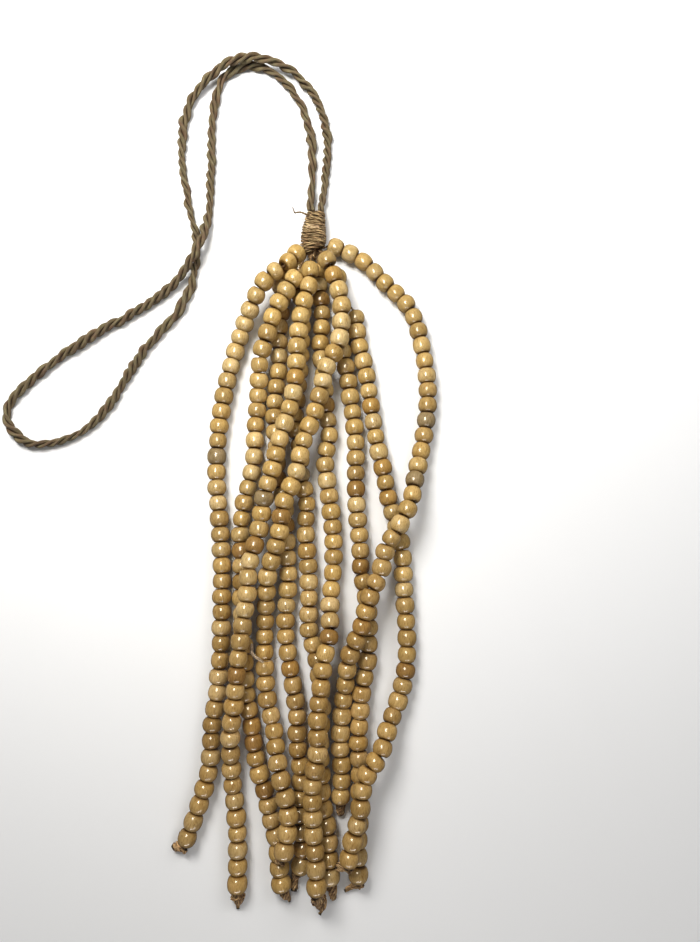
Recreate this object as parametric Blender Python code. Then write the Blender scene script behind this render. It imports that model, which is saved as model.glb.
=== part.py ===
"""Beaded tassel, laid out on a flat surface.

A plied cord, doubled into a long hanging loop, enters a binding of wound twine. Ten strings of
barrel beads fan out below the binding, lie over each other in two layers and end in knots.

Axes: X to the right, Y from the beads towards the cord's loop, Z up. The origin is on the surface,
under the middle of the binding. Tables are in millimetres, meshes in metres.
"""
import math

import bpy
import numpy as np

MM = 0.001

# Bead strands
STRAND_SIDES = 12
STRAND_APOTHEM = 4.8          # from a strand's middle to its flat sides
STRAND_RING_SPACING = 9.5
STRAND_SPACING = 10.3         # centre to centre, where two strands touch
CROSSING_SPACING = 8.2        # nearer than this one strand lies over the other, further they part
BESIDE_SPACING = 9.9          # strands this far apart pass beside each other
SETTLING_ROUNDS = 30
ROUTE_STEP = 1.5
DRAPE_CURVE = 0.012           # how fast a strand comes down beside what it lies on

# Knots and wound forms
KNOT_SIDES = 10
KNOT_RINGS = 6
KNOT_FLAT = 0.05              # share of a knot's thickness that is pressed flat under it
SECTION_SIDES = 20
SECTION_FLAT = 0.06           # the same for the binding

# Hanging cord
CORD_DIAMETER = 4.8
CORD_POINT_SPACING = 11.0
CORD_REST = 2.4               # height of its middle where it lies on the surface

# Each strand from the binding to its last bead: the number of beads and the points (x, y) that
# its string passes over. The order is the order in which they lie, the lowest first.
STRANDS = {
    "strand_01": (39, [(12.5, -24.5), (13.5, -49), (17, -74), (22, -100), (23, -140), (27.5, -188),
                       (29.5, -212), (25, -260), (24.5, -283), (23.5, -330)]),
    "strand_02": (40, [(-8, -21.5), (-5.5, -45), (-8, -85), (-9.5, -108), (-6, -132.5), (-3, -172),
                       (0.5, -212), (6, -249), (6, -284), (9.5, -332)]),
    "strand_03": (39, [(-17.5, -22.5), (-18, -46), (-19, -93), (-18.5, -117), (-15, -151), (-12.5, -168),
                       (-14, -200), (-10.5, -232), (-5, -268), (-4.5, -290), (-4.5, -326)]),
    "strand_04": (40, [(-11.5, -31.5), (-18, -43), (-25.5, -66.5), (-28.5, -90), (-31.5, -131), (-36, -164),
                       (-36.5, -188), (-33, -236), (-27.5, -275), (-18, -304.5), (-13.5, -334.5)]),
    "strand_05": (40, [(-10.5, -13.5), (-20.5, -26), (-33, -44.5), (-44, -74.5), (-50, -114), (-50, -139),
                       (-46.5, -170), (-46, -211), (-47, -251), (-51, -283), (-61, -314)]),
    "strand_06": (36, [(23.5, -46.5), (27, -71.5), (35, -120), (45.5, -167), (48.5, -205), (48.5, -231.5),
                       (44.5, -247), (32, -274), (22.5, -304), (19.5, -319)]),
    "strand_07": (40, [(3, -21.5), (5, -45), (5.5, -78), (7.5, -97), (6.5, -115), (9, -144), (11.5, -172),
                       (9.5, -200), (5.5, -239), (1.5, -285), (3, -332)]),
    "strand_08": (40, [(11.7, -7.3), (27.5, -15), (38.5, -27.5), (50.5, -39), (58, -60), (61.5, -87),
                       (57.5, -119.5), (48, -152), (35, -180.5), (26, -208.5), (18, -239), (14.5, -270),
                       (15, -294)]),
    "strand_09": (40, [(-1.5, -24.5), (-3.2, -42), (-8.5, -67), (-13.5, -107), (-24, -145), (-29, -166),
                       (-33, -201), (-38, -248), (-39.5, -280), (-36.5, -304), (-35.5, -335)]),
    "strand_10": (39, [(8, -18.5), (14, -35.5), (16.5, -46), (14, -60.5), (1.5, -100), (-14, -154),
                       (-20.5, -184), (-24, -228), (-21, -255), (-14, -277), (-10, -296), (-11.5, -316)]),
}

# Knots at the strands' ends. Columns: the middle (x, y), the length along the strand, width,
# thickness, and how high the underside lies at the strand and at the knot's tip.
KNOTS = {
    "knot_01": (22.2, -337.4, 5.0, 5.0, 4.6, 0.0, 0.0),
    "knot_02": (10.3, -339.6, 5.6, 5.0, 4.6, 0.0, 0.0),
    "knot_03": (-5.4, -333.8, 6.0, 4.6, 4.4, 0.0, 0.0),
    "knot_04": (-12.8, -341.9, 5.4, 5.2, 4.8, 0.0, 0.0),
    "knot_05": (-66.6, -320.4, 6.4, 5.4, 5.0, 0.0, 0.0),
    "knot_06": (16.0, -326.6, 6.4, 4.0, 4.0, 10.0, 4.5),
    "knot_07": (4.0, -344.1, 12.6, 6.0, 5.4, 9.5, 0.0),
    "knot_08": (15.4, -301.7, 7.2, 4.4, 4.4, 0.0, 0.0),
    "knot_09": (-35.4, -342.8, 6.4, 5.4, 5.0, 0.0, 0.0),
    "knot_10": (-13.6, -324.4, 6.4, 4.4, 4.2, 12.0, 10.4),
}

# The binding's sections from the cord's side to the beads' side.
# Columns: y, left edge, right edge, height, how far the section slants over its width.
BINDING = [
    (12.9, -3.6, 5.6, 8.6, 0.0),
    (11.6, -4.4, 6.3, 9.6, 0.0),
    (7.8, -5.0, 6.5, 10.6, 0.0),
    (2.0, -6.6, 6.8, 12.0, 0.5),
    (-3.7, -7.3, 7.0, 13.0, 1.5),
    (-8.6, -7.2, 6.8, 13.0, 4.0),
    (-10.4, -6.3, 6.0, 12.0, 4.3),
]
# The bunch of strings that leaves the binding, with the same columns.
BUNCH_HEIGHT = 2.6            # of its underside
BUNCH = [
    (-10.7, -4.6, 4.4, 7.4, 3.0),
    (-12.6, -3.4, 4.2, 7.4, 1.5),
    (-14.8, -2.0, 3.4, 6.4, 0.0),
]

# The hanging cord, from the binding's right, round its loop and back to the binding's left:
# x, y and the height of its middle where it is lifted.
CORD = [
    (3.4, 13.6, 4.6), (5, 27, 2.6), (7.4, 52), (3, 75.5), (-7.5, 93, 2.6), (-20, 100.8, 5.4),
    (-31, 103, 7.3), (-41, 102.6, 7.5), (-51, 98.8, 7.4), (-61, 91.5, 4.6), (-69.5, 80.5), (-74.3, 58),
    (-72.5, 31), (-66, 3.5), (-65, -17), (-70, -36), (-88, -60), (-103, -84),
    (-116, -103), (-129, -112), (-145, -116), (-158, -111), (-164, -99), (-157, -86),
    (-137, -68.5), (-105, -47.5), (-82, -33), (-72.5, -24, 4.8), (-65, -13, 8.0), (-60.5, 0, 5.6),
    (-58.5, 14), (-58, 50), (-56, 83), (-51, 95.5), (-41, 101.5), (-30, 101),
    (-16, 90.5), (-3, 62), (-1.5, 30, 2.6), (-2, 13.6, 4.6),
]


def start_empty():
    """Remove what the file holds."""
    for obj in list(bpy.data.objects):
        bpy.data.objects.remove(obj, do_unlink=True)


def material(name, colour, roughness):
    """A plain Principled material."""
    made = bpy.data.materials.new(name)
    made.use_nodes = True
    shader = made.node_tree.nodes["Principled BSDF"]
    shader.inputs["Base Color"].default_value = (*colour, 1.0)
    shader.inputs["Roughness"].default_value = roughness
    shader.inputs["Metallic"].default_value = 0.0
    return made


def distances_along(points):
    """The distance from the first point to each point, along the line."""
    return np.r_[0.0, np.cumsum(np.linalg.norm(np.diff(points, axis=0), axis=1))]


def smooth_line(points, step):
    """Even points, about a step apart, on the natural cubic spline through the given points."""
    points = np.array(points, dtype=float)
    knots = distances_along(points)
    widths = np.diff(knots)[:, None]
    count = len(points)
    system = np.eye(count)
    right = np.zeros_like(points)
    slopes = np.diff(points, axis=0) / widths
    for i in range(1, count - 1):
        system[i, i - 1] = widths[i - 1, 0]
        system[i, i] = 2 * (widths[i - 1, 0] + widths[i, 0])
        system[i, i + 1] = widths[i, 0]
        right[i] = 6 * (slopes[i] - slopes[i - 1])
    bend = np.linalg.solve(system, right)
    fine = np.linspace(0, knots[-1], int(knots[-1] * 4))
    cell = np.clip(np.searchsorted(knots, fine, side="right") - 1, 0, count - 2)
    width = widths[cell]
    before = (knots[cell + 1] - fine)[:, None]
    after = (fine - knots[cell])[:, None]
    curve = (bend[cell] * before**3 + bend[cell + 1] * after**3) / (6 * width)
    curve += (points[cell] / width - bend[cell] * width / 6) * before
    curve += (points[cell + 1] / width - bend[cell + 1] * width / 6) * after
    return even_points(curve, step)


def even_points(line, step):
    """The same line with its points at even distances, about a step apart."""
    along = distances_along(line)
    places = np.linspace(0, along[-1], max(2, round(along[-1] / step) + 1))
    return np.stack([np.interp(places, along, column) for column in line.T], axis=1)


def smoothed(values, rounds):
    """The values averaged with their neighbours, along the line."""
    for _ in range(rounds):
        before = np.concatenate([values[:1], values[:-1]])
        after = np.concatenate([values[1:], values[-1:]])
        values = 0.25 * before + 0.5 * values + 0.25 * after
    return values


def ease_apart(routes):
    """Part the strands that lie side by side a little nearer than they are thick."""
    routes = {name: route.copy() for name, route in routes.items()}
    names = list(routes)
    for _ in range(SETTLING_ROUNDS):
        pushes = {name: np.zeros_like(route) for name, route in routes.items()}
        for i, first in enumerate(names):
            for second in names[i + 1:]:
                offsets = routes[first][:, None] - routes[second][None]
                spans = np.linalg.norm(offsets, axis=2)
                push_from_nearest(pushes[first], offsets, spans)
                push_from_nearest(pushes[second], -offsets.transpose(1, 0, 2), spans.T)
        for name in names:
            routes[name] += smoothed(pushes[name], 6)
    return routes


def push_from_nearest(push, offsets, spans):
    """Add to each point's push a quarter of what it lacks to clear the other strand."""
    rows = np.arange(len(spans))
    nearest = spans.argmin(axis=1)
    span = spans[rows, nearest]
    beside = (span > CROSSING_SPACING) & (span < STRAND_SPACING)
    lack = 0.25 * (STRAND_SPACING + 0.02 - span[beside]) / span[beside]
    push[beside] += lack[:, None] * offsets[rows, nearest][beside]


def lay(routes):
    """Give each strand the heights at which it rests on the surface and on the strands before it."""
    laid = {}
    for name, route in routes.items():
        along = distances_along(route)
        needed = np.full(len(route), STRAND_APOTHEM)
        for below in laid.values():
            span = np.linalg.norm(route[:, None] - below[None, :, :2], axis=2)
            rise = np.sqrt(np.maximum(STRAND_SPACING**2 - span**2, 0))
            on_it = np.where(span < BESIDE_SPACING, below[None, :, 2] + rise, STRAND_APOTHEM)
            needed = np.maximum(needed, on_it.max(axis=1))
        drape = needed[None, :] - DRAPE_CURVE * (along[:, None] - along[None, :]) ** 2
        lowest = np.maximum(drape.max(axis=1), STRAND_APOTHEM)
        height = lowest.copy()
        for _ in range(60):
            height = np.maximum(lowest, smoothed(height, 1))
        laid[name] = np.column_stack([route, height])
    return laid


def mesh_object(name, points, faces, finish):
    """An object from points in millimetres, shaded smooth over its blunt edges."""
    mesh = bpy.data.meshes.new(name)
    mesh.from_pydata([tuple(p * MM for p in point) for point in points], [], faces)
    mesh.validate()
    mesh.materials.append(finish)
    mesh.shade_smooth()
    mesh.set_sharp_from_angle(angle=math.radians(50))
    obj = bpy.data.objects.new(name, mesh)
    bpy.context.collection.objects.link(obj)
    return obj


def skin(name, rings, finish):
    """A closed body over rings with the same number of points, each counter-clockwise seen from its end."""
    sides = len(rings[0])
    points = [point for ring in rings for point in ring]
    faces = []
    for i in range(len(rings) - 1):
        for j in range(sides):
            k = (j + 1) % sides
            faces.append((i * sides + j, (i + 1) * sides + j, (i + 1) * sides + k, i * sides + k))
    last = (len(rings) - 1) * sides
    faces.append(tuple(range(sides)))
    faces.append(tuple(reversed(range(last, last + sides))))
    return mesh_object(name, points, faces, finish)


def strand_route(beads, points):
    """The smooth line over a strand's bead middles, half a bead longer at both ends."""
    line = smooth_line(points, ROUTE_STEP)
    half_bead = 0.5 * distances_along(line)[-1] / (beads - 1)
    first = past_end(line[0], line[3], half_bead)
    last = past_end(line[-1], line[-4], half_bead)
    return even_points(np.vstack([first, line, last]), ROUTE_STEP)


def past_end(end, before, distance):
    """The point that lies a distance past a line's end."""
    ahead = end - before
    return end + distance * ahead / np.linalg.norm(ahead)


def strand(name, line, finish):
    """A strand's outer form: a straight-sided tube with a flat side down."""
    line = even_points(line, STRAND_RING_SPACING)
    corner = STRAND_APOTHEM / math.cos(math.pi / STRAND_SIDES)
    rings = []
    for i, middle in enumerate(line):
        ahead = line[min(i + 1, len(line) - 1)] - line[max(i - 1, 0)]
        ahead /= np.linalg.norm(ahead)
        across = np.cross(ahead, (0, 0, 1))
        across /= np.linalg.norm(across)
        upward = np.cross(across, ahead)
        turns = (np.arange(STRAND_SIDES) + 0.5) * 2 * math.pi / STRAND_SIDES
        rings.append([middle + corner * (math.sin(t) * across + math.cos(t) * upward) for t in turns])
    return skin(name, rings[::-1], finish)


def knot(name, row, heading, finish):
    """A knot: an egg along the strand's heading, with a flat spot under it, that may slope down."""
    x, y, length, width, thickness, lift, tip_lift = row
    around, along = KNOT_SIDES, KNOT_RINGS
    rings = []
    for i in range(along):
        lean = math.pi * (i + 0.5) / along
        reach = -0.5 * length * math.cos(lean) / math.cos(0.5 * math.pi / along)
        share = reach / length + 0.5
        underside = lift * (1 - share) + tip_lift * share
        ring = []
        for j in range(around):
            turn = (j + 0.5) * 2 * math.pi / around
            side = 0.5 * width * math.sin(lean) * math.sin(turn)
            up = 0.5 * thickness * (1 + math.sin(lean) * math.cos(turn))
            ring.append((x + reach * heading[0] + side * heading[1],
                         y + reach * heading[1] - side * heading[0],
                         underside + max(up - KNOT_FLAT * thickness, 0.0)))
        rings.append(ring)
    return skin(name, rings[::-1], finish)


def wound_form(name, sections, underside, finish):
    """An oval form through the sections, flat below."""
    rings = []
    for y, left, right, height, slant in sections:
        middle = 0.5 * (left + right)
        half = 0.5 * (right - left)
        ring = []
        for j in range(SECTION_SIDES):
            turn = (j + 0.5) * 2 * math.pi / SECTION_SIDES
            across = math.sin(turn)
            up = 0.5 * height * (1 + math.cos(turn) / math.cos(0.5 * math.pi / SECTION_SIDES))
            up = max(up - SECTION_FLAT * height, 0.0) / (1 - SECTION_FLAT)
            ring.append((middle + half * across, y + 0.5 * slant * across, underside + up))
        rings.append(ring)
    return skin(name, rings, finish)


def cord(name, finish):
    """The hanging cord as one tube along the smooth line through its route."""
    route = [(point + (CORD_REST,))[:3] for point in CORD]
    line = smooth_line(route, CORD_POINT_SPACING)
    line[:, 2] = np.maximum(line[:, 2], CORD_REST)
    curve = bpy.data.curves.new(name, "CURVE")
    curve.dimensions = "3D"
    curve.bevel_depth = 0.5 * CORD_DIAMETER * MM
    curve.bevel_resolution = 2
    curve.use_fill_caps = True
    spline = curve.splines.new("POLY")
    spline.points.add(len(line) - 1)
    for point, place in zip(spline.points, line):
        point.co = (*(place * MM), 1.0)
    curve.materials.append(finish)
    obj = bpy.data.objects.new(name, curve)
    bpy.context.collection.objects.link(obj)
    return obj


def build():
    wood = material("bead_wood", (0.55, 0.37, 0.19), 0.38)
    string = material("string", (0.24, 0.15, 0.08), 0.85)
    twine = material("twine", (0.30, 0.20, 0.11), 0.8)
    plied = material("plied_cord", (0.22, 0.17, 0.10), 0.85)
    routes = {name: strand_route(beads, points) for name, (beads, points) in STRANDS.items()}
    laid = lay(ease_apart(routes))
    for name, line in laid.items():
        strand(name, line, wood)
        ahead = line[-1, :2] - line[-8, :2]
        ahead /= np.linalg.norm(ahead)
        knot_name = name.replace("strand", "knot")
        knot(knot_name, KNOTS[knot_name], ahead, string)
    wound_form("binding", BINDING, 0.0, twine)
    wound_form("string_bunch", BUNCH, BUNCH_HEIGHT, string)
    cord("hanging_cord", plied)


start_empty()
build()
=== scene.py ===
"""The looks of the beaded tassel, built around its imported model.

A three-ply cord hangs the tassel. A winding of twine holds ten strings of varnished wooden beads,
and each string ends in a knot. Tables and helpers work in millimetres, pieces are made in metres.
"""
import math

import bmesh
import bpy
import numpy as np
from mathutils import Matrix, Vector


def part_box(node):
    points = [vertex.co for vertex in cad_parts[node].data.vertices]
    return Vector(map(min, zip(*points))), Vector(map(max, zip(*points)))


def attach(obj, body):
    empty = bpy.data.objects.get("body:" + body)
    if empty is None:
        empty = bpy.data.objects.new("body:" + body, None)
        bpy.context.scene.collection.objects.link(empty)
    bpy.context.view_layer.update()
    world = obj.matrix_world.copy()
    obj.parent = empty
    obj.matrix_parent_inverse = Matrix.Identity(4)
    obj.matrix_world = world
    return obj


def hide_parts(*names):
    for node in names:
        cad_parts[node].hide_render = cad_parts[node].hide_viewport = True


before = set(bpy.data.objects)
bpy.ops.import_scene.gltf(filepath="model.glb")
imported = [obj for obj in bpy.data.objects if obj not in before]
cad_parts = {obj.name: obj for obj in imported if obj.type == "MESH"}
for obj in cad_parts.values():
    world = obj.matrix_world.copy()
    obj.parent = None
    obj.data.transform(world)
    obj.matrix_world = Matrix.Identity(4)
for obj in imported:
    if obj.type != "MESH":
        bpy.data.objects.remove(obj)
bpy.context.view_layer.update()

MM = 0.001
FULL_TURN = 2 * math.pi

# The camera.
CAMERA_PLACE = (19.9, -171.6, 360.6)
CAMERA_TARGET = (19.9, -129.9, 0.0)
CAMERA_LENS = 26.0

# The hanging cord, from the binding's right, round its loop and back to the binding's left:
# x, y and the height of its middle where it is lifted.
CORD_DIAMETER = 4.8
CORD_REST = 2.4               # height of its middle where it lies on the surface
CORD_PLIES = 3
CORD_LAY = 20.0               # along the cord, for one turn of a ply
CORD_STEP = 0.8
CORD_WANDER = 0.22            # how far its middle strays from the smooth line
CORD_WANDER_SPACING = 6.0
CORD_STEADY = 8.0             # over which it starts to stray
CORD = [
    (3.4, 13.6, 4.6), (5, 27, 2.6), (7.4, 52), (3, 75.5), (-7.5, 93, 2.6), (-20, 100.8, 5.4),
    (-31, 103, 7.3), (-41, 102.6, 7.5), (-51, 98.8, 7.4), (-61, 91.5, 4.6), (-69.5, 80.5), (-74.3, 58),
    (-72.5, 31), (-66, 3.5), (-65, -17), (-70, -36), (-88, -60), (-103, -84),
    (-116, -103), (-129, -112), (-145, -116), (-158, -111), (-164, -99), (-157, -86),
    (-137, -68.5), (-105, -47.5), (-82, -33), (-72.5, -24, 4.8), (-65, -13, 8.0), (-60.5, 0, 5.6),
    (-58.5, 14), (-58, 50), (-56, 83), (-51, 95.5), (-41, 101.5), (-30, 101),
    (-16, 90.5), (-3, 62), (-1.5, 30, 2.6), (-2, 13.6, 4.6),
]

# How ropes wear. For the twist, for the size and for each ply's size: over how much of a lay it
# wanders, and how far for the rope's wear.
TWIST_WEAR = (1.6, 2.2)
SIZE_WEAR = (0.6, 1.0)
PLY_WEAR = (0.4, 1.6)
# Painted shade in the groove between two plies: where it starts from a ply's middle and how wide its edge
# is, both for half a ply, and how dark it is painted.
GROOVE_START = 0.68
GROOVE_EDGE = 0.14
GROOVE_PAINTED_SHADE = 0.95
# How plies differ: the range of their tints and how much each colour takes of it, and the steps
# between their places in the grain, to the side and apart.
PLY_TINT = 0.10
PLY_TINT_SHARES = (1.0, 0.9, 0.7)
PLY_GRAIN_SIDE = 7.3
PLY_GRAIN_APART = 3.1
GRAIN_WIDTH = 1.6             # of a ply's grain, for the width of its skin
# A ribbon's width along it: part of the length, size.
RIBBON_TAPER = [(0, 0.7), (0.1, 1), (0.9, 1), (1, 0.7)]
ANY_ANGLE = (0, 6.28)         # least and most

# The strands: how many beads each has.
BEADS = {
    "strand_01": 39, "strand_02": 40, "strand_03": 39, "strand_04": 40, "strand_05": 40,
    "strand_06": 36, "strand_07": 40, "strand_08": 40, "strand_09": 40, "strand_10": 39,
}
TUBE_SIDES = 12               # of a strand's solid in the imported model
STRANDS_START = (0.0, -8.0, 6.0)
STRAND_STEP = 0.5
STRAND_SMOOTHING = 12         # rounds
FLOOR_MIDDLE = 5.2            # a bead whose middle is lower than this lies on the surface
# How a strand's line is moved off its solid's middle: place along it, then right, towards the cord
# and up.
SHIFTS = {
    "strand_01": [(190, 0, 0, 0), (210, -1.5, 0, 0), (228, -1.5, 0, 0), (245, -0.8, 0, 0),
                  (262, -1.2, 0, 0), (290, 0, 0, 0)],
    "strand_02": [(270, 0, 0, 0), (284, 1.2, 0, 0), (300, 1.8, 0, 0), (312, 0.8, 0, 0),
                  (330, 0.4, 0, 0)],
    "strand_03": [(0, 2.2, 0.4, 0), (14, 1.0, 0, 0), (26, 0, 0, 0), (298, 0, 0, 0), (312, -1.6, 0, 0)],
    "strand_04": [(0, 2.0, 2.2, 0), (12, 3.2, 1.8, 0), (20, 1.0, 3.2, 0), (30, 0.6, 2.2, 0),
                  (44, 0.8, 0, 0), (54, 1.5, 0, 0), (70, 1.2, 0, 0), (84, 0, 0, 0)],
    "strand_05": [(0, 0.6, -0.4, -6.0), (4, 0.8, -0.8, -5.4), (12, 3.4, -1.4, -0.4),
                  (22, -0.8, -0.3, 0), (36, -0.8, 0, 0), (60, 0, 0, 0)],
    "strand_06": [(0, -2.7, -1.1, 0), (14, -1.8, -0.4, 0), (30, 0, 0, 0), (234, 0, 0, 0),
                  (245, -1.7, 0, 0), (254, -1.3, 0, 0), (264, 0, 0, 0)],
    "strand_07": [(290, 0, 0, 0), (306, 1.2, 0, 0), (328, -1.8, 0.4, 0)],
    "strand_08": [(0, -0.3, -1.2, 0), (12, 0.4, -0.6, 0), (30, 0, 0, 0)],
    "strand_09": [(0, -0.3, 0.3, 0), (12, -1.0, -0.4, 0), (20, 1.0, -1.9, 0), (30, -0.8, -2.4, 0),
                  (50, 0, 0, 0), (162, 0, 0, 0), (172, 1.6, 0, 0), (182, 1.4, 0, 0), (196, 0, 0, 0)],
    "strand_10": [(0, -1.6, -0.2, 0), (12, -1.8, -1.0, 0), (20, -0.2, -1.5, 0), (30, 1.1, -1.2, 0),
                  (46, 0, 0, 0), (288, 0, 0, 0), (300, -1.5, 0, 0), (312, 0, 0, 0), (321, 1.7, 0, 0)],
}
# How much farther along their string some beads lie than evenly spaced ones: bead number, distance.
SLIPS = {
    "strand_01": [(1, 0), (7, 1.3), (13, 1.9), (15, 2.6), (21, 2.7), (27, 3.4), (29, 3.4), (34, 1.5),
                  (39, -0.3)],
    "strand_02": [(34, 0), (38, -0.8), (40, -0.8)],
    "strand_03": [(1, 0), (5, -1.2), (8, -0.4), (11, 0.3), (19, 2.0), (22, 3.0), (25, 2.4), (28, 3.4),
                  (30, 3.4), (34, 2.1), (37, 0.7), (39, 0)],
    "strand_04": [(1, 0), (3, -0.6), (5, 0.6), (7, 2.3), (10, 3.0), (14, 3.7), (19, 5.5), (26, 5.6),
                  (29, 5.0), (33, 3.2), (36, 2.0), (38, 2.0), (40, 0)],
    "strand_05": [(1, -0.3), (2.4, -0.3), (2.6, 1.1), (8, 1.6), (14, 1.7), (18, 2.4), (22, 2.7),
                  (26, 1.8), (28, 0.9), (31, 1.0), (34, 0), (37, -1.2), (40, -0.6)],
    "strand_06": [(1, -1.0), (2, -1.0), (4, 0), (7, 1.7), (13, 2.8), (22, 2.6), (25, 1.9), (28, 0.9),
                  (31, 0)],
    "strand_07": [(1, 0), (4, -1.0), (6, 0.3), (11, 2.8), (16, 3.1), (21, 2.3), (25, 3.5), (28, 3.5),
                  (31, 2.4), (34, 1.7), (37, 0.1), (40, -0.9)],
    "strand_08": [(1, 0.2), (3, 1.3), (7, 2.0), (8, 2.6), (14, 2.7), (17, 3.5), (19, 2.8), (22, 3.6),
                  (27, 3.8), (31, 2.5), (34, 3.8), (37, 2.7), (39, 1.6), (40, 0)],
    "strand_09": [(1, 0), (2, 1.0), (4, 2.2), (10, 3.0), (15, 3.5), (19, 2.6), (22, 3.1), (26, 2.0),
                  (31, 0.4), (34, 1.6), (37, 0), (40, 0)],
    "strand_10": [(1, 0.2), (1.4, 0.2), (1.6, 1.5), (5, 1.7), (7, 2.8), (13, 3.0), (16, 2.4), (20, 2.0),
                  (22, 1.0), (25, 1.3), (27, 0.4), (31, 0.5), (33, -1.4), (35, -2.4), (39, -1.2)],
}
SLIP_REACH = 0.4              # a bead's ends slip as at this part of a number before and after its own

# A bead's shape.
BEAD_RADIUS = 4.86
BEAD_HOLE = 1.3
BEAD_SIDES = 24
BEAD_BELLY_POINTS = 12
BEAD_GAP = 0.30               # between two beads on a string
BEAD_SIZES = (0.95, 1.05)     # of its radius, least and most, as are the next two
BEAD_ENDS = (0.58, 0.67)      # the radius where its wall meets its flat end, for its largest radius
BEAD_BELLIES = (2.1, 2.4)     # the wall's roundness: 2 is an ellipse, and more is fuller
BEAD_UNEVEN = 0.07            # how far its length strays from the mean
BEAD_WEDGE = 0.035            # how far one end may be wider than the other
BEAD_TILT = 0.03              # how far its axis strays from the string's direction
BEAD_EDGE = 0.45              # from its wall to the edge of its flat end
BEAD_EDGE_RISE = 0.03         # how far that edge stands out past the wall
BEAD_LIP = 0.3                # round its hole
BEAD_HOLE_DEPTH = 0.4         # of its hole's open mouth
END_SHADES = (0.28, 0.24, 0.12)     # painted shade at that edge, at the lip and in the hole
GRAIN_LEAN = 0.5              # how far a bead's grain may lean from its axis
GRAIN_REACH = 400             # how far apart two beads' places in the grain may be
RIM_PAINTED_SHADE = 0.82           # painted shade on a bead's wall where it meets the next bead
RIM_SHARPNESS = 6             # how narrow that painted shade is
SHADE_WARMTH = (0.8, 1.0, 1.35)     # painted shade is brown, not grey

# The strings inside the beads.
STRING_DIAMETER = 1.3
STRING_LAY = 4.0
STRING_STEP = 0.6
STRING_SMOOTHING = 6          # rounds
STRING_START_Y = -9.0
STRING_START_HEIGHT = 5.6
STRINGS_HALF_WIDTH = 3.6      # of all of them where they leave the binding
STRINGS_DRAWN_IN = 0.35       # how far to the side a string starts, for its first bead's place
# The way of a string from the binding to its first bead, where it isn't straight.
LEADS = {
    "strand_06": [(4, -9.5, 6.5), (8, -15, 8.2), (11, -22, 7.6), (14, -30, 6.6), (16.5, -37, 6.0)],
}

# Colours, as linear red, green and blue.
HONEY = (0.490, 0.332, 0.122)
TAN = (0.345, 0.220, 0.076)
PALE = (0.555, 0.412, 0.205)
AMBER = (0.370, 0.222, 0.066)
DARK = (0.280, 0.162, 0.050)
GREY = (0.270, 0.202, 0.110)
CORD_BROWN = (0.136, 0.110, 0.073)
TWINE = (0.330, 0.238, 0.126)
STRING = (0.245, 0.163, 0.084)
BAND = (0.46, 0.36, 0.23)
STRAY = (0.42, 0.34, 0.25)
STRAY_TIP = (0.30, 0.25, 0.19)
# Most beads mix three tones: how strongly each comes in, and how bright the mix may be.
MIXED_TONES = (HONEY, TAN, PALE)
MIXED_SHARES = (1.4, 1.0, 0.8)
MIXED_BRIGHTNESS = (0.84, 1.12)
# Beads that stand out, by their number from the binding.
ODD_BEADS = [
    (AMBER, {"strand_03": (27, 38), "strand_04": (30,), "strand_06": (7, 11, 13), "strand_08": (29,),
             "strand_09": (8,), "strand_10": (2,)}),
    (DARK, {"strand_01": (15, 20, 35), "strand_03": (4, 15, 18), "strand_04": (19, 31, 34),
            "strand_06": (24,), "strand_07": (3, 10, 25), "strand_09": (19, 27), "strand_10": (18,)}),
    (GREY, {"strand_02": (15,), "strand_05": (16,), "strand_08": (15, 19), "strand_09": (16,)}),
    (PALE, {"strand_01": (4, 16), "strand_02": (22, 40), "strand_04": (13, 14, 23),
            "strand_05": (6, 7, 10, 19, 27, 30, 31), "strand_07": (15, 23),
            "strand_09": (9, 11, 20, 23, 31), "strand_10": (5, 6, 8, 9, 15)}),
]
# Painted light fall-off along the strands, lighter near the binding and darker further down: bead number,
# then red, green and blue.
PAINTED_FALLOFF = [
    (1, 1.02, 1.05, 1.08), (12, 1.02, 1.03, 1.03), (22, 1.0, 0.99, 0.97), (30, 0.93, 0.88, 0.82),
    (36, 0.93, 0.89, 0.84), (40, 0.97, 0.95, 0.94),
]

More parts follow.
